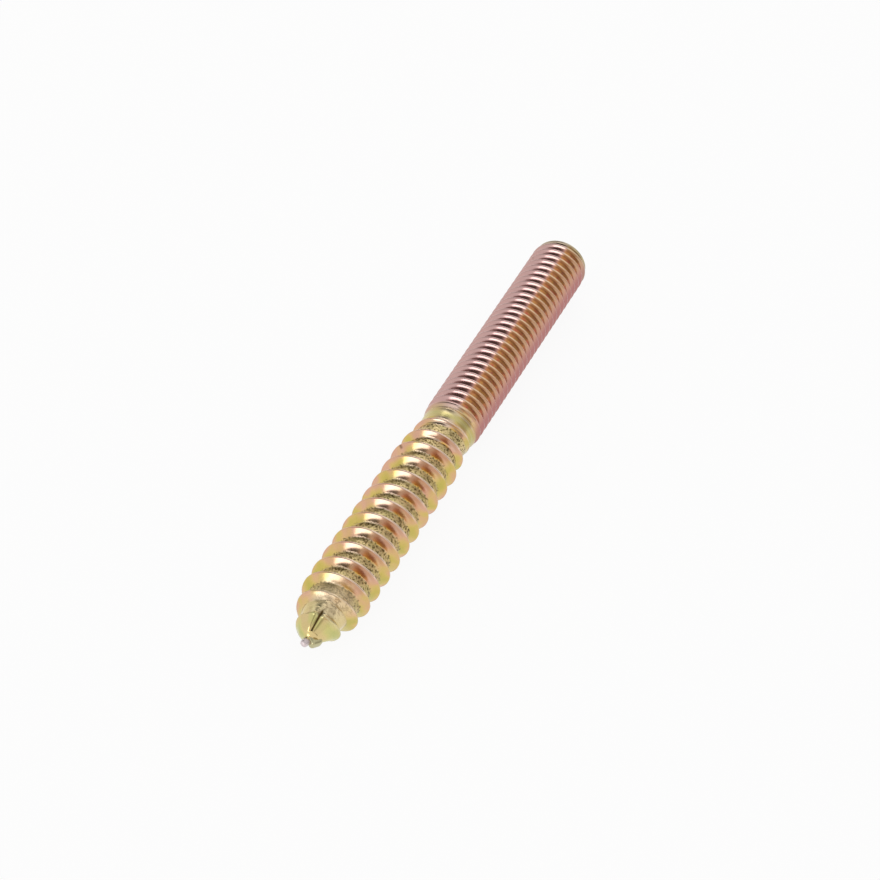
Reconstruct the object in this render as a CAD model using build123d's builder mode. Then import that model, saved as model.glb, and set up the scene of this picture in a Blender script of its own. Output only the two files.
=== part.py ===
from build123d import *
import math
import os

# Hanger bolt, size M8 x 80: a headless double-ended fastener turned and rolled from one rod.
# One half is a coarse wood screw with a gimlet point, the other half a machine-screw shank
# with a rounded end, and a short plain neck is left between the two threads.
# Frame: the bolt's axis is X, and the machine half points to +X. The origin is on the axis,
# where the shank first has its full diameter. Millimetres.

# Driving dimensions
SHANK_R = 3.95                # crest radius of the machine thread
NECK_R = 3.60                 # plain neck, the rod's own size before rolling
CREST_R = 4.33                # wood thread over its crests
ROOT_R = 3.25                 # wood thread at its root
PITCH = 2.77                  # wood thread, single start, right-hand
CREST_FLAT = 0.20
FLANK = math.radians(30)      # each flank, from the plane square to the axis

TIP_X = -41.80                # very point of the gimlet
CONE_X = TIP_X + 8.20         # where the point's cone reaches the full root radius
FULL_X = TIP_X + 9.00         # where the crests reach their full radius
RIDGE_X = (TIP_X + 4.40, -3.50)  # first and last place of the thread's ridge
RUN_OUT_X = -7.90             # where the crests begin to sink towards the neck
NECK_X = (-3.20, -1.80)       # both ends of the cylindrical neck
DOME_X = 34.70                # where the end rounding starts
END_X = 36.90
END_R = 2.80                  # flat left in the middle of the rounded end

DEPTH = CREST_R - ROOT_R
BURIED = 0.35                 # how far the ridge's foot goes below the root surface


def crest_radius(x):
    """Radius over the crests: parabolic on the point, straight on the run-out to the neck."""
    taper = 0.0468 * max(0, FULL_X - x) ** 2
    run_out = 0.155 * max(0, x - RUN_OUT_X)
    return CREST_R - taper - run_out


def on_helix(x, radius):
    """Point of the right-hand helix that passes over +Z at the gimlet's point."""
    angle = 2 * math.pi * (x - TIP_X) / PITCH
    return (x, -radius * math.sin(angle), radius * math.cos(angle))


with BuildPart() as hanger_bolt:
    # Core of the wood thread, from the blunt nub at the point to inside the neck
    with BuildSketch(Plane.XZ):
        with BuildLine():
            Polyline(
                (TIP_X + 0.6, 0),
                (TIP_X + 0.6, 0.95),
                (CONE_X, ROOT_R),
                (NECK_X[1] - 0.1, ROOT_R),
                (NECK_X[1] - 0.1, 0),
                close=True,
            )
        make_face()
    revolve(axis=Axis.X)

    # Thread ridge: one profile swept along the helix, its foot buried in the core
    length, per_turn = RIDGE_X[1] - RIDGE_X[0], 12
    steps = round(length / PITCH * per_turn)
    xs = [RIDGE_X[0] + length * i / steps for i in range(steps + 1)]
    with BuildLine() as helix:
        Spline(*[on_helix(x, crest_radius(x) - DEPTH) for x in xs])
    start, tangent = helix.line @ 0, helix.line % 0
    outward = Vector(0, start.Y, start.Z).normalized()
    crest = CREST_FLAT / 2
    foot = crest + (DEPTH + BURIED) * math.tan(FLANK)
    with BuildSketch(Plane(origin=start, x_dir=outward.cross(tangent), z_dir=tangent)):
        with BuildLine():
            Polyline((-foot, -BURIED), (-crest, DEPTH), (crest, DEPTH), (foot, -BURIED), close=True)
        make_face()
    sweep(path=helix.wire(), is_frenet=True)

    # Neck: the run-out cone that the last turns die into, and the plain cylinder
    with BuildSketch(Plane.XZ):
        with BuildLine():
            Polyline(
                (NECK_X[0] - 4.1, 0),
                (NECK_X[0] - 4.1, ROOT_R - 0.05),
                (NECK_X[0] - 3.7, ROOT_R),
                (NECK_X[0], NECK_R),
                (NECK_X[1], NECK_R),
                (NECK_X[1], 0),
                close=True,
            )
        make_face()
    revolve(axis=Axis.X)

    # Machine half: lead-in cone, shank over the thread's crests, rounded end
    with BuildSketch(Plane.XZ):
        with BuildLine():
            Polyline((END_X, 0), (NECK_X[1], 0), (NECK_X[1], NECK_R), (0, SHANK_R), (DOME_X, SHANK_R))
            RadiusArc((DOME_X, SHANK_R), (END_X, END_R), 2.6)
            Line((END_X, END_R), (END_X, 0))
        make_face()
    revolve(axis=Axis.X)

    # Blunt nub left at the very point by the rolling dies
    with BuildSketch(Plane.XZ):
        with BuildLine():
            Polyline((TIP_X + 1.4, 0), (TIP_X + 1.4, 0.85), (TIP_X + 0.35, 0.6))
            Line((TIP_X + 0.35, 0.6), (TIP_X, 0.3))
            Polyline((TIP_X, 0.3), (TIP_X, 0), (TIP_X + 1.4, 0))
        make_face()
    revolve(axis=Axis.X)

hanger_bolt.part.label = "hanger_bolt"
os.makedirs("parts", exist_ok=True)
export_step(hanger_bolt.part, "parts/hanger_bolt.step")
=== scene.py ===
"""Hanger bolt in yellow chromated steel, lying on its side in a plain pale studio.

The bolt's axis is X and its machine half points to +X. Lengths in the shape functions are
millimetres, and the angle round the axis runs from +Z towards -Y, so that a right-hand helix
moves along +X as the angle grows.
"""
import math

import bpy
import numpy as np
from mathutils import Matrix, Vector


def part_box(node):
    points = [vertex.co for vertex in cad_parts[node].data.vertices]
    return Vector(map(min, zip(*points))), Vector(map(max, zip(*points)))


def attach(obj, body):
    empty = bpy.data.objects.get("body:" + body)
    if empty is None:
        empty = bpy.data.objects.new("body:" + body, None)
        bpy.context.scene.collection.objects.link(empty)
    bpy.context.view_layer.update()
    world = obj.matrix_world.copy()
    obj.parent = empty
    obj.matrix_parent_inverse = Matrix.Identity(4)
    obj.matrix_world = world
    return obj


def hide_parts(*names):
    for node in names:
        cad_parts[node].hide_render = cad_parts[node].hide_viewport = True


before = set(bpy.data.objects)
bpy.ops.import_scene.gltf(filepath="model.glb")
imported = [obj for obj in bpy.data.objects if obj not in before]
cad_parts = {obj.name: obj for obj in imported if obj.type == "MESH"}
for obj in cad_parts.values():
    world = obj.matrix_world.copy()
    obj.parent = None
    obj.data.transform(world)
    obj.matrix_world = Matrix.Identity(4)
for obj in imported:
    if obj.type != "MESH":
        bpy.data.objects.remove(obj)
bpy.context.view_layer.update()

MM = 0.001
TAU = 2 * math.pi
low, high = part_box("hanger_bolt")
TIP_X = low[0] / MM
END_X = high[0] / MM
FLOOR_Z = low[2] / MM

# Wood thread, millimetres
WOOD_PITCH = 2.77
WOOD_CREST = 4.33
WOOD_ROOT = 3.25
WOOD_DEPTH = WOOD_CREST - WOOD_ROOT
WOOD_FLAT = 0.20               # width of the crest
FILLET = 0.17                  # how far up the flank the root's fillet reaches, of its height
POINT_LENGTH = 9.0             # the gimlet point's taper
CREST_CURVE = 0.0435           # of the parabola that the crests follow on the point
ROOT_CURVE = 0.0315            # the same for the root
RUN_OUT_X = -7.9               # where the last crests begin to sink towards the neck
RUN_OUT_SLOPE = 0.125          # how fast they sink
NECK_RADIUS = 3.60
NECK_X = -1.5                  # where the wood thread hands over to the machine thread

# Machine thread, M8 coarse
SHANK_RADIUS = 3.95
SHANK_ROOT = 3.18
SHANK_PITCH = 1.25
SHANK_FLAT = 0.18              # width of the crest
SHANK_PHASE_X = 0.104          # a crest's place at angle 0
DOME_X = END_X - 2.3           # where the end rounding starts
DOME_FACE = 2.75               # radius of the flat left on the end

# Marks of the rolling dies at the point, as angles from +Z towards -Y
LUG_ANGLE = math.radians(113.6)    # where the larger broken block stands out
FOLD_ANGLE = math.radians(15.6)
STUB_CONE = 1.15               # radius at which the skirt starts

COLUMNS = 120                  # facets round the bolt

# Studio: the room's brightness, and its darker zones, each a direction, its outer and inner angle
# in degrees, and its colour
ROOM = (0.90, 0.90, 0.90)
WORLD_ZONES = (
    ((0.20, -0.92, 0.28), 44, 20, (0.50, 0.48, 0.46)),
    ((0.10, 0.70, 0.70), 30, 12, (0.40, 0.40, 0.40)),
    ((0.18, 0.30, 0.94), 31, 13, (0.10, 0.10, 0.09)),
    ((-0.65, -0.305, 0.697), 22, 8, (0.50, 0.48, 0.46)),
    ((-0.97, -0.24, 0.08), 30, 18, (0.60, 0.44, 0.32)),
)

FLANK = math.tan(math.radians(30))


# ---------------------------------------------------------------- shape of the bolt

def smooth(value, start, end):
    """0 before start, 1 after end, and an S-curve 3t^2 - 2t^3 between them."""
    t = np.clip((value - start) / (end - start), 0, 1)
    return t * t * (3 - 2 * t)


def bump(value, middle, width):
    """A bell 1 high at middle: exp of minus the squared distance over the squared width."""
    return np.exp(-((value - middle) / width) ** 2)


def turn_from(angle, middle):
    """Signed angle from middle, wrapped to between -pi and pi."""
    return (angle - middle + math.pi) % TAU - math.pi


def wood_crest(x):
    """Radius over the wood thread's crests: the full radius less a parabola on the point and a
    straight run-out near the neck."""
    point = CREST_CURVE * np.maximum(0, TIP_X + POINT_LENGTH - x) ** 2
    return WOOD_CREST - point - RUN_OUT_SLOPE * np.maximum(0, x - RUN_OUT_X)


def wood_root(x):
    """Root radius of the wood thread: a flatter parabola on the point, and it rises to the neck."""
    point = ROOT_CURVE * np.maximum(0, TIP_X + POINT_LENGTH - x) ** 2
    return WOOD_ROOT - point + (NECK_RADIUS - WOOD_ROOT) * smooth(x, RUN_OUT_X + 3.2, NECK_X)


def wood_height(x, angle):
    """Height of the wood thread's ridge from 0 at the root to 1 at the crest, over one pitch: a
    flat crest, two straight 30 degree flanks, and a flat root that a parabola blends into them."""
    along = (x - TIP_X - WOOD_PITCH * angle / TAU) % WOOD_PITCH
    from_crest = np.minimum(along, WOOD_PITCH - along)
    height = 1 - (from_crest - WOOD_FLAT / 2) / (WOOD_DEPTH * FLANK)
    fillet = np.clip(height + FILLET, 0, 2 * FILLET) ** 2 / (4 * FILLET)
    return np.clip(np.maximum(fillet, height), 0, 1)


def shank_height(x, angle):
    """Height of the machine thread, 0 at the root and 1 at the crest: a triangle wave with 30
    degree flanks, cut flat at the crest and at the root, with its corners eased."""
    along = (x - SHANK_PHASE_X - SHANK_PITCH * angle / TAU) % SHANK_PITCH
    from_crest = np.minimum(along, SHANK_PITCH - along)
    depth = SHANK_RADIUS - SHANK_ROOT
    height = np.clip(1 - (from_crest - SHANK_FLAT / 2) / (depth * FLANK), 0, 1)
    return height - 0.10 * np.sin(TAU * height) / TAU


def shank_crest(x):
    """Radius over the machine thread: eased up from the neck, and a quarter ellipse at the end."""
    lead_in = NECK_RADIUS + (SHANK_RADIUS - NECK_RADIUS) * smooth(x, NECK_X, 0.6)
    drop = np.clip((x - DOME_X) / (END_X - DOME_X), 0, 1)
    return lead_in - (SHANK_RADIUS - DOME_FACE) * (1 - np.sqrt(1 - drop ** 2))


def shank_root(x):
    """Root radius of the machine thread: it starts on the neck and reaches full depth in two and
    a half turns."""
    return NECK_RADIUS + (SHANK_ROOT - NECK_RADIUS) * smooth(x, NECK_X, 1.6)


def skirt_radius(x, angle):
    """Radius of the smooth skirt at the point: a straight cone from the torn stub to the crest of
    the thread's first turn, which starts underneath and fades out after one turn."""
    turn = (angle - math.pi) % TAU
    crest_x = WOOD_PITCH * (turn + math.pi) / TAU
    share = np.clip((x - TIP_X - 1.0) / (crest_x - 1.0), 0, 1)
    cone = STUB_CONE + (wood_crest(TIP_X + crest_x) - STUB_CONE) * share
    return cone * (x - TIP_X <= crest_x) * (1 - smooth(turn, 5.3, 6.2))


def point_fold(x, angle):
    """The seam where the dies folded the metal over on the point: a bell-shaped groove with a lower
    lip of the same form raised beside it, both running from the stub up the skirt."""
    along = x - TIP_X
    turned = turn_from(angle, FOLD_ANGLE)
    run = smooth(along, 1.0, 1.5) * (1 - smooth(along, 3.6, 4.4))
    return run * (0.15 * bump(turned, -0.28, 0.17) - 0.24 * bump(turned, 0.0, 0.10))


def torn_metal(x, angle, radius):
    """What the dies tore in the first turns: metal smeared into the groove between them, with
    small hollows and creases, as a sum of sines that fades out away from the point."""
    along = x - TIP_X
    smear = smooth(along, 2.4, 3.2) * (1 - smooth(along, 5.4, 6.2))
    smear = smear * bump(turn_from(angle, 0.32), 0, 0.50)
    radius = radius + 0.9 * smear * np.maximum(0, wood_crest(x) - 0.28 - radius)
    fade = smooth(along, 2.4, 3.6) * (1 - smooth(along, 6.0, 8.5))
    fade = fade * bump(turn_from(angle, 0.45), 0, 0.75)
    creases = np.sin(5.1 * along + 3.0 * angle) * np.sin(9.0 * angle - 2.3 * along)
    return radius + fade * (0.07 * creases + 0.04 * np.sin(9 * along - 7 * angle))


def bolt_radius(x, angle):
    """Radius of the whole bolt at a place along it and round it: on the wood half the larger of the
    root and the ridge, with the point's own shape laid over it, and on the machine half the smaller
    of the thread and the radius over its crests."""
    wood = np.maximum(wood_root(x), wood_crest(x) - WOOD_DEPTH * (1 - wood_height(x, angle)))
    wood = torn_metal(x, angle, np.maximum(wood, skirt_radius(x, angle))) + point_fold(x, angle)
    wood = np.minimum(wood, 0.45 + 2.4 * np.maximum(0, x - TIP_X - 0.8))
    full = shank_root(x) + shank_height(x, angle) * (SHANK_RADIUS - shank_root(x))
    stub = np.clip((x - TIP_X) / 0.3, 0, 1)
    return np.where(x < NECK_X, wood, np.minimum(shank_crest(x), full)) * stub


# ---------------------------------------------------------------- grid of the bolt's skin

def helix_rows(offsets, pitch, phase_x, start, end):
    """Row places at angle 0 for a threaded stretch: the same offsets from the crest in every
    pitch, kept from start to one pitch before end."""
    turns = np.arange(math.floor((start - phase_x) / pitch) - 1, (end - phase_x) / pitch)
    places = (phase_x + pitch * turns[:, None] + np.asarray(offsets)[None, :]).ravel()
    return places[(places >= start - 1e-6) & (places <= end - pitch + 1e-6)]


def threaded_stretch(rows, per_pitch, pitch, share):
    """X of every grid point on a threaded stretch. Middle rows climb one pitch per turn. At the
    start the first pitch's rows fan out from one point of a square-cut ring, and at the end they
    close into one point of such a ring, so that the stretch meets plain rings at both ends."""
    first = rows[0] + (rows[1:per_pitch + 1, None] - rows[0]) * share
    middle = rows[:, None] + pitch * share
    tail = rows[-per_pitch:, None] + pitch
    last = tail + (rows[-1] + pitch - tail) * share
    ring = np.full((1, share.size), rows[0])
    return np.concatenate([ring, first[:-1], middle, last])


def skin_rows():
    """All rows of the skin in order along the bolt, as x for each column."""
    share = np.linspace(0, 1, COLUMNS + 1)[None, :]
    wood_offsets = (-0.10, 0, 0.10, 0.14, 0.30, 0.46, 0.60, 0.67, 0.74, 0.84, 1.02, 1.20, 1.38, 1.56,
                    1.74, 1.92, 1.98, 2.04, 2.10, 2.17, 2.31, 2.47, 2.62)
    shank_offsets = (-0.09, 0.0, 0.09, 0.15, 0.26, 0.38, 0.48, 0.56, 0.69, 0.77, 0.87, 0.99, 1.10)
    wood = helix_rows(wood_offsets, WOOD_PITCH, TIP_X, TIP_X + 0.92, NECK_X)
    shank = helix_rows(shank_offsets, SHANK_PITCH, SHANK_PHASE_X, NECK_X, END_X - 0.15)
    nose = TIP_X + (wood[0] - TIP_X) * np.linspace(0, 1, 12)[:-1] ** 1.6
    neck = np.linspace(wood[-1] + WOOD_PITCH, shank[0], 5)[1:-1]
    dome = np.linspace(shank[-1] + SHANK_PITCH, END_X, 5)[1:]
    return np.concatenate([
        nose[:, None] + 0 * share,
        threaded_stretch(wood, len(wood_offsets), WOOD_PITCH, share),
        neck[:, None] + 0 * share,
        threaded_stretch(shank, len(shank_offsets), SHANK_PITCH, share),
        dome[:, None] + 0 * share,
    ])


def welded(points, quads):
    """Grid points that share a place become one vertex, and a quad with two corners at one place
    becomes a triangle. Returns vertices, faces, and for each vertex its first grid point."""
    keys = np.round(points, 5) + 0.0
    _, first, same = np.unique(keys, axis=0, return_index=True, return_inverse=True)
    corners = same.reshape(-1)[quads]
    pinched = corners == np.roll(corners, -1, axis=1)
    whole = corners[pinched.sum(axis=1) == 0]
    faces = whole.tolist()
    for corner in range(4):
        single = corners[(pinched.sum(axis=1) == 1) & pinched[:, corner]]
        faces += np.delete(single, corner, axis=1).tolist()
    return points[first], faces, first


def grid_quads(rows, columns, first=0):
    """Corner numbers of every quad in a grid of points numbered row by row."""
    grid = first + np.arange(rows * columns).reshape(rows, columns)
    corners = [grid[:-1, :-1], grid[:-1, 1:], grid[1:, 1:], grid[1:, :-1]]
    return np.stack(corners, axis=-1).reshape(-1, 4)


def rounded_block(along, across, half, power, tilt):
    """Grid of points of a rounded block at the point, its middle 'along' mm behind the point and
    'across' mm out towards the lug, tilted towards the lug. Each point is a direction scaled to
    length 1 in the norm of the given power, and then stretched to the half sizes."""
    polar = np.linspace(0, math.pi, 17)[:, None]
    round_x = np.linspace(0, TAU, 33)[None, :]
    ways = np.stack([-np.cos(polar) + 0 * round_x, -np.sin(polar) * np.sin(round_x),
                     np.sin(polar) * np.cos(round_x)], axis=-1)
    norm = (np.abs(ways) ** power).sum(axis=-1, keepdims=True) ** (1 / power)
    block = ways / norm * np.array(half)
    block = block @ np.array(Matrix.Rotation(tilt, 3, "Y"))
    side = np.array([0, -math.sin(LUG_ANGLE), math.cos(LUG_ANGLE)])
    front = np.array([0, -side[2], side[1]])
    middle = np.array([TIP_X + along, 0, 0]) + across * side
    return middle + block @ np.stack([(1, 0, 0), front, side])


def bolt_mesh():
    """The bolt's skin as one closed mesh, with the two broken blocks at its point sunk into it. A
    skin point is (x, -r sin a, r cos a) with r the radius at that place and angle, and the last
    column, row, and pole are welded shut."""
    x = skin_rows()
    angle = np.linspace(0, TAU, COLUMNS + 1)[None, :] + 0 * x
    radius = bolt_radius(x, angle)
    x = np.concatenate([x, x[-1:], x[-1:]])
    angle = np.concatenate([angle, angle[-1:], angle[-1:]])
    radius = np.concatenate([radius, radius[-1:] * 0.5, radius[-1:] * 0])
    skin = np.stack([x, -radius * np.sin(angle), radius * np.cos(angle)], axis=-1)
    points, quads = skin.reshape(-1, 3), grid_quads(*x.shape)
    blocks = (rounded_block(0.25, 0.02, (0.60, 0.46, 0.48), 3, 0.3),
              rounded_block(1.22, 0.74, (0.80, 0.62, 0.84), 5, 0.6))
    for block in blocks:
        quads = np.concatenate([quads, grid_quads(*block.shape[:2], first=len(points))])
        points = np.concatenate([points, block.reshape(-1, 3)])
    vertices, faces, first = welded(points, quads)
    mesh = bpy.data.meshes.new("hanger_bolt_skin")
    mesh.from_pydata((vertices * MM).tolist(), [], faces)
    mesh.polygons.foreach_set("use_smooth", np.ones(len(mesh.polygons), dtype=bool))
    paint_zones(mesh, vertices)
    of_block = first - skin[..., 0].size
    first_block = of_block < blocks[0][..., 0].size
    paint(mesh, "bare", np.where(of_block < 0, 0.0, np.where(first_block, 1.0, 0.5)))
    mesh.update()
    return mesh


def paint_zones(mesh, vertices):
    """Stores the height on the thread and the share of each zone of the finish, all from 0 to 1; the
    dark zone also holds painted shade along the fold's groove.
    """
    x = vertices[:, 0]
    along = x - TIP_X
    angle = np.arctan2(-vertices[:, 1], vertices[:, 2])
    paint(mesh, "ridge", np.where(x < NECK_X, wood_height(x, angle), shank_height(x, angle)))
    paint(mesh, "wood", 1 - smooth(x, -2.0, 0.8))
    paint(mesh, "neck", bump(x, -1.6, 0.9))
    paint(mesh, "end", smooth(x, END_X - 2.4, END_X - 0.5))
    paint(mesh, "grain", smooth(along, 4.6, 7.2) * (1 - smooth(x, -3.4, -2.6)))
    paint(mesh, "tip", 1 - smooth(along, 2.6, 5.5))
    torn = smooth(along, 2.4, 3.4) * (1 - smooth(along, 6.5, 9.0))
    paint(mesh, "torn", torn * bump(turn_from(angle, 0.5), 0, 0.75))
    # Painted shade: the fold's groove is painted dark along its length
    fold_shade = smooth(along, 1.0, 1.3) * (1 - smooth(along, 3.4, 4.2))
    fold_shade = fold_shade * bump(turn_from(angle, FOLD_ANGLE), 0, 0.07)
    nick = 0.7 * bump(x, -9.12, 0.16) * bump(turn_from(angle, -0.77), 0, 0.08)
    speck = 0.4 * bump(x, 32.27, 0.16) * bump(turn_from(angle, -0.77), 0, 0.06)
    paint(mesh, "dark", fold_shade + nick + speck)


def paint(mesh, name, values):
    """Stores one number per vertex for the material to read."""
    mesh.attributes.new(name, "FLOAT", "POINT").data.foreach_set("value", values.astype(np.float32))


# ---------------------------------------------------------------- materials

def linear(code, alpha=1.0):
    """A colour written as an sRGB hex number, in the linear values that Blender works with."""
    parts = [int(code[i:i + 2], 16) / 255 for i in (0, 2, 4)]
    return [c / 12.92 if c <= 0.04045 else ((c + 0.055) / 1.055) ** 2.4 for c in parts] + [alpha]


def node(tree, kind, inputs=None, **settings):
    """Adds one node, sets its properties, and fills or links its inputs."""
    made = tree.nodes.new(kind)
    for name, value in settings.items():
        setattr(made, name, value)
    for socket, value in (inputs or {}).items():
        if isinstance(value, bpy.types.NodeSocket):
            tree.links.new(value, made.inputs[socket])
        else:
            made.inputs[socket].default_value = value
    return made


def empty_material(name):
    """A material with its node tree cleared."""
    material = bpy.data.materials.new(name)
    material.use_nodes = True
    material.node_tree.nodes.clear()
    return material, material.node_tree


def ramp(tree, value, stops):
    """Colours between the given (place, hex) stops, looked up by value."""
    made = node(tree, "ShaderNodeValToRGB", {"Fac": value})
    elements = made.color_ramp.elements
    while len(elements) < len(stops):
        elements.new(0.5)
    for element, (place, code) in zip(elements, stops):
        element.position = place
        element.color = linear(code)
    return made.outputs["Color"]


def mixed(tree, share, first, second):
    """The first colour where share is 0 and the second where it is 1."""
    made = node(tree, "ShaderNodeMix", {"Factor": share}, data_type="RGBA")
    for name, colour in (("A", first), ("B", second)):
        socket = [s for s in made.inputs if s.name == name and s.type == "RGBA"][0]
        if isinstance(colour, bpy.types.NodeSocket):
            tree.links.new(colour, socket)
        else:
            socket.default_value = colour
    return [s for s in made.outputs if s.type == "RGBA"][0]


def stretched_noise(tree, place, size_mm, detail=2.0, stretch=(1, 1, 1)):
    """Noise whose patches are about size_mm across, longer by stretch along each axis."""
    scaled = node(tree, "ShaderNodeMapping", {"Vector": place, "Scale": [1 / k for k in stretch]})
    noise = node(tree, "ShaderNodeTexNoise", {
        "Vector": scaled.outputs["Vector"], "Scale": 1 / (size_mm * MM), "Detail": detail})
    return noise.outputs["Fac"]


def between(tree, value, low_end, high_end, soft=True):
    """0 at low_end and beyond it, and 1 at high_end and beyond it, which may be the lower of the
    two. In between it is an S-curve, or a straight line if not soft."""
    kind = "SMOOTHSTEP" if soft else "LINEAR"
    inputs = {"Value": value, "From Min": low_end, "From Max": high_end}
    return node(tree, "ShaderNodeMapRange", inputs, interpolation_type=kind).outputs["Result"]


def times(tree, first, second):
    """The product of two values."""
    return node(tree, "ShaderNodeMath", {0: first, 1: second}, operation="MULTIPLY").outputs[0]


def scaled_sum(tree, value, factor, rest):
    """Value times factor, plus the rest."""
    return node(tree, "ShaderNodeMath", {0: value, 1: factor, 2: rest},
                operation="MULTIPLY_ADD").outputs[0]


def machine_film(tree, place, side, middle, ridge):
    """The film on the machine thread: pink on both edges of the bolt, lighter between them where the
    highlights fall, as a painted highlight, and darker on the far edge, as a painted reflection of
    the shadowed floor. Between the edges the crests are pale gold, and the grooves are gold with red
    patches of 0.9 mm."""
    small_patches = stretched_noise(tree, place, 0.9, 2.0)
    # Across the bolt: lighter from about 0.25 to 0.75 as a painted highlight where the highlights fall,
    # and darker at 0.95 as a painted reflection of the shadowed floor
    crest_film_and_light = ramp(tree, side, (
        (0.0, "C6A09A"), (0.25, "CDA8A4"), (0.42, "DDBDB6"), (0.5, "E8C6A0"), (0.75, "DDB090"),
        (0.95, "B6807C")))
    gold_film = ramp(tree, small_patches, (
        (0.36, "DEA290"), (0.45, "E2BA98"), (0.54, "E2C290"), (0.66, "D6AC9A")))
    gold_film = mixed(tree, between(tree, ridge, 0.45, 0.65), gold_film, linear("C29A78"))
    groove_film = mixed(tree, middle, crest_film_and_light, gold_film)
    return mixed(tree, between(tree, ridge, 0.90, 0.99), groove_film, crest_film_and_light)


def wood_film(tree, place, side, middle, ridge, grained, patches):
    """The film on the wood thread: pink towards the crest and olive down the flanks, and in the middle
    red flanks over a gold fillet. It is more olive near the point and towards the far edge, at side 1."""
    along = node(tree, "ShaderNodeSeparateXYZ", {0: place}).outputs["X"]
    near_point = between(tree, along, -18 * MM, -38 * MM)
    level = scaled_sum(tree, patches, 0.9, times(tree, ridge, 0.5))
    level = scaled_sum(tree, between(tree, side, 0.7, 1.0), -0.25, level)
    level = scaled_sum(tree, near_point, -0.22, level)
    edge_film = ramp(tree, level, (
        (0.0, "C2B55E"), (0.25, "CDB864"), (0.5, "D6BA72"), (0.72, "DBB480"), (1.0, "DAAC90")))
    red_film = ramp(tree, level, ((0.1, "E4C286"), (0.4, "E0B68E"), (0.7, "D8A284"), (1.0, "DDB6A0")))
    gold_fillet = times(tree, between(tree, ridge, 0.46, 0.16), between(tree, side, 0.74, 0.60))
    red_film = mixed(tree, gold_fillet, red_film, linear("EFC268"))
    high_flank = times(tree, between(tree, ridge, 0.45, 0.75), 0.6)
    red_film = mixed(tree, high_flank, red_film, linear("B98A6A"))
    flank_film = mixed(tree, times(tree, middle, grained), edge_film, red_film)

    # Painted highlights: a paler band along the bolt where the low panel's highlights fall, and
    # lighter crests over most of the bolt's width as the camera sees it
    highlight_band = times(tree, between(tree, side, 0.12, 0.28), between(tree, side, 0.56, 0.46))
    flank_film = mixed(tree, times(tree, highlight_band, 0.8), flank_film, linear("DCC4B2"))
    crest_highlight = times(tree, between(tree, ridge, 0.93, 0.99), between(tree, side, 0.34, 0.50))
    crest_highlight = times(tree, crest_highlight, between(tree, side, 0.96, 0.80))
    flank_film = mixed(tree, times(tree, crest_highlight, 0.8), flank_film, linear("EFD6C2"))
    root_film = ramp(tree, patches, ((0.0, "D2BF88"), (0.5, "DEC692"), (1.0, "CDBE84")))
    return mixed(tree, between(tree, ridge, 0.005, 0.06), root_film, flank_film)


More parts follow.
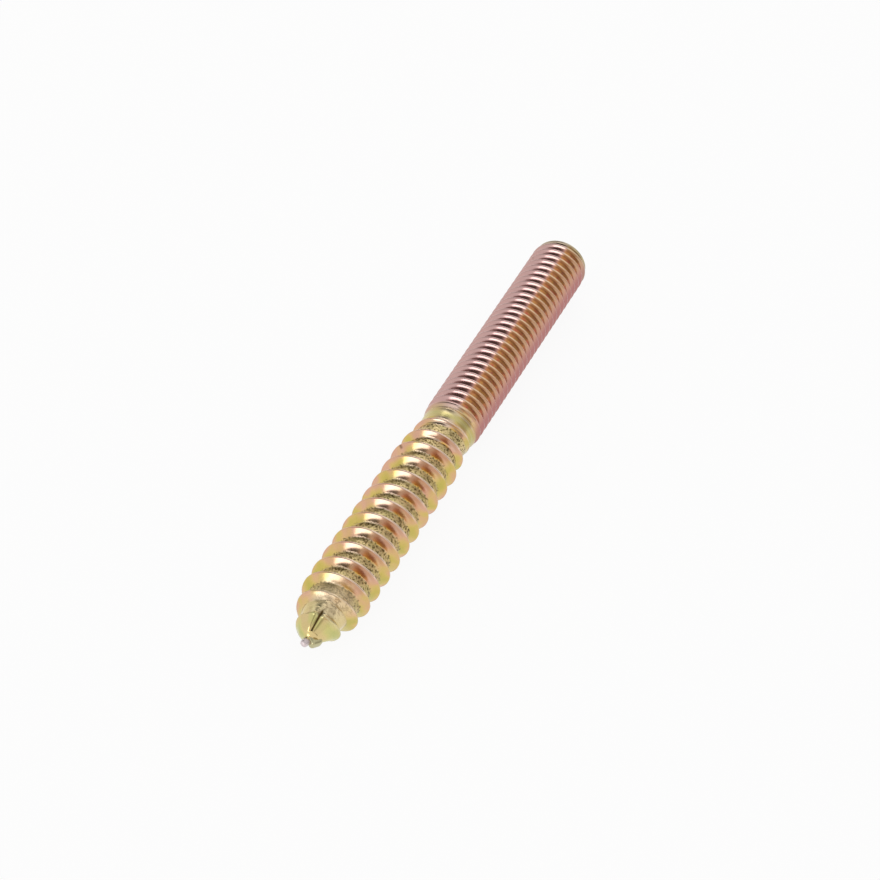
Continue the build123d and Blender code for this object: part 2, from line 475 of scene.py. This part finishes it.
def yellow_chromate():
    """Zinc-plated steel with yellow chromate, dipped after thread rolling. The film is thinner than
    light's wavelength, so the metal shows gold, pink and olive in soft patches. Its colours also
    carry painted light: paler where the highlights fall, lighter and pinker on the wood thread's
    crests as a painted highlight, and darker on the far edge as a painted reflection of the
    shadowed floor. The wood thread's root keeps the grain of the rolling dies."""
    material, tree = empty_material("yellow_chromated_zinc")
    place = node(tree, "ShaderNodeTexCoord").outputs["Object"]
    ridge, wood, neck, end, grained, tip, torn, dark, bare = [
        node(tree, "ShaderNodeAttribute", attribute_name=name).outputs["Fac"]
        for name in ("ridge", "wood", "neck", "end", "grain", "tip", "torn", "dark", "bare")]

    # The film's tone: soft patches of 2.2 mm, and a coordinate across the bolt as the camera sees it,
    # from the edge towards the low panel, at 0, to the far edge, at 1. The colours below paint light
    # and shade along it: a paler band where the highlights fall, and a darker far edge that is a
    # painted reflection of the shadowed floor
    patches = stretched_noise(tree, place, 2.2, 1.0, (1.6, 1, 1))
    patches = between(tree, patches, 0.3, 0.7, False)
    across_to_far_edge = node(tree, "ShaderNodeVectorMath", {0: place, 1: (0, -0.916, -0.400)},
                operation="DOT_PRODUCT")
    side = between(tree, across_to_far_edge.outputs["Value"], -3.7 * MM, 3.7 * MM, False)
    middle = times(tree, between(tree, side, 0.42, 0.50), between(tree, side, 0.92, 0.74))
    film = mixed(tree, wood, machine_film(tree, place, side, middle, ridge),
                 wood_film(tree, place, side, middle, ridge, grained, patches))
    film = mixed(tree, times(tree, neck, 0.65), film, linear("C0B878"))
    tip_film = ramp(tree, patches, ((0.2, "C1C27E"), (0.5, "CFC780"), (0.85, "DBC48C")))
    film = mixed(tree, times(tree, tip, 0.9), film, tip_film)

    # The dies' grain in the wood thread's root, drawn at 0.26 mm so that it shows
    grain = stretched_noise(tree, place, 0.26, 3.0)
    root_edge = scaled_sum(tree, grain, 0.5, ridge)
    in_root = times(tree, grained, between(tree, root_edge, 0.42, 0.24))
    specks = times(tree, in_root, between(tree, grain, 0.54, 0.36))
    film = mixed(tree, specks, film, linear("715F3B"))

    # Torn metal on the first turns: a pale skin that paints its highlights, and brown lines where the
    # noise is near its middle that paint the shade in its creases
    creases = stretched_noise(tree, place, 0.45, 3.0, (0.8, 2.2, 2.2))
    crease_shade_line = node(tree, "ShaderNodeMath", {0: creases, 1: 0.5, 2: 0.03},
                       operation="COMPARE").outputs[0]
    film = mixed(tree, times(tree, torn, 0.8), film, linear("EEDAB4"))
    film = mixed(tree, times(tree, times(tree, torn, crease_shade_line), 0.5), film, linear("7A5A3A"))

    # The machine end, the dark marks (a nick, a speck, and painted shade along the fold's groove),
    # and the bare metal of the two broken blocks
    film = mixed(tree, times(tree, end, 0.7), film, linear("B3AE8C"))
    film = mixed(tree, between(tree, dark, 0.1, 0.8), film, linear("54401F"))
    film = mixed(tree, between(tree, bare, 0.0, 0.5), film, linear("C2BC94"))
    film = mixed(tree, between(tree, bare, 0.5, 1.0), film, linear("DCCFD0"))

    rough = 0.16
    for share, extra in ((in_root, 0.20), (neck, 0.14), (torn, 0.22), (bare, 0.30)):
        rough = scaled_sum(tree, share, extra, rough)
    height = scaled_sum(tree, creases, times(tree, torn, 0.6), times(tree, in_root, grain))
    relief = node(tree, "ShaderNodeBump", {"Height": height, "Distance": 0.06 * MM})
    shader = node(tree, "ShaderNodeBsdfPrincipled", {
        "Base Color": film,
        "Metallic": 1.0,
        "Roughness": rough,
        "Normal": relief.outputs["Normal"],
    })
    node(tree, "ShaderNodeOutputMaterial", {"Surface": shader.outputs["BSDF"]})
    return material


def studio_floor():
    """White seamless paper. Seen by the camera and in the metal it is mostly plain white, with only
    a share of its real shading, so that the object's shadow stays soft and faint."""
    material, tree = empty_material("white_paper")
    paper = node(tree, "ShaderNodeBsdfPrincipled", {"Base Color": linear("F6F6F6"), "Roughness": 0.9})
    white = node(tree, "ShaderNodeEmission", {"Color": (1, 1, 1, 1), "Strength": 1.0})
    path = node(tree, "ShaderNodeLightPath").outputs
    seen = node(tree, "ShaderNodeMath", {0: path["Is Camera Ray"], 1: path["Is Glossy Ray"]},
                operation="ADD")
    seen = node(tree, "ShaderNodeMath", {0: seen.outputs[0], 1: path["Is Transmission Ray"]},
                operation="ADD", use_clamp=True)
    share = times(tree, seen.outputs[0], 0.92)
    shader = node(tree, "ShaderNodeMixShader", {
        0: share, 1: paper.outputs["BSDF"], 2: white.outputs["Emission"]})
    node(tree, "ShaderNodeOutputMaterial", {"Surface": shader.outputs["Shader"]})
    return material


# ---------------------------------------------------------------- the piece, floor, light and camera

def add_object(name, mesh, material):
    """Puts a mesh into the scene as an object at the origin, with one material."""
    made = bpy.data.objects.new(name, mesh)
    mesh.materials.append(material)
    bpy.context.scene.collection.objects.link(made)
    return made


bolt = add_object("threaded_bolt", bolt_mesh(), yellow_chromate())
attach(bolt, "root")
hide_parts("hanger_bolt")

floor_mesh = bpy.data.meshes.new("floor")
reach = 2.0
floor_mesh.from_pydata([(-reach, -reach, FLOOR_Z * MM), (reach, -reach, FLOOR_Z * MM),
                        (reach, reach, FLOOR_Z * MM), (-reach, reach, FLOOR_Z * MM)], [], [(0, 1, 2, 3)])
floor = add_object("studio_floor", floor_mesh, studio_floor())


def aim(made, target):
    """Turns an object so that its -Z looks at target and its Y stays up."""
    made.rotation_euler = (Vector(target) - made.location).to_track_quat("-Z", "Y").to_euler()


def softbox(name, place, target, size, radiance):
    """A rectangular area lamp that faces target. Its power is its radiance times pi and its area."""
    data = bpy.data.lights.new(name, "AREA")
    data.shape = "RECTANGLE"
    data.size, data.size_y = size
    data.energy = radiance * math.pi * size[0] * size[1]
    lamp = bpy.data.objects.new(name, data)
    lamp.location = place
    bpy.context.scene.collection.objects.link(lamp)
    aim(lamp, target)
    return lamp


softbox("low_panel", (-1.10, 0.20, 0.36), (0, 0, 0), (0.60, 0.72), 1.7)
softbox("rear_softbox", (0.64, 0.22, 0.66), (0, 0, 0), (0.50, 0.24), 1.8)


def studio_world():
    """A pale room all round, with darker stretches where no panel stands: low on the -Y side, high
    on the +Y side, overhead, behind the camera, and a warm one low in front of the point. The
    colour goes over from the room's to the zone's between its outer and its inner angle."""
    world = bpy.data.worlds.new("studio")
    world.use_nodes = True
    tree = world.node_tree
    tree.nodes.clear()
    direction = node(tree, "ShaderNodeTexCoord").outputs["Generated"]
    colour = (*ROOM, 1)
    for toward, outer, inner, level in WORLD_ZONES:
        nearness = node(tree, "ShaderNodeVectorMath", {0: direction, 1: Vector(toward).normalized()},
                        operation="DOT_PRODUCT").outputs["Value"]
        share = between(tree, nearness, math.cos(math.radians(outer)), math.cos(math.radians(inner)))
        colour = mixed(tree, share, colour, (*level, 1))
    background = node(tree, "ShaderNodeBackground", {"Color": colour, "Strength": 1.0})
    node(tree, "ShaderNodeOutputWorld", {"Surface": background.outputs["Background"]})
    return world


bpy.context.scene.world = studio_world()

# Camera: long lens, from above and a little in front of the point
camera_data = bpy.data.cameras.new("camera")
camera_data.lens = 109.24
camera_data.sensor_width = 36
camera = bpy.data.objects.new("camera", camera_data)
camera.location = Vector((-227.6, -105.2, 240.7)) * MM
forward = Vector((0.6495, 0.3049, -0.6965)).normalized()
right = forward.cross(Vector((0, 0, 1))).normalized()
up = right.cross(forward)
camera.rotation_euler = Matrix((right, up, -forward)).transposed().to_euler()
bpy.context.scene.collection.objects.link(camera)
bpy.context.scene.camera = camera

bpy.context.scene.view_settings.view_transform = "Standard"
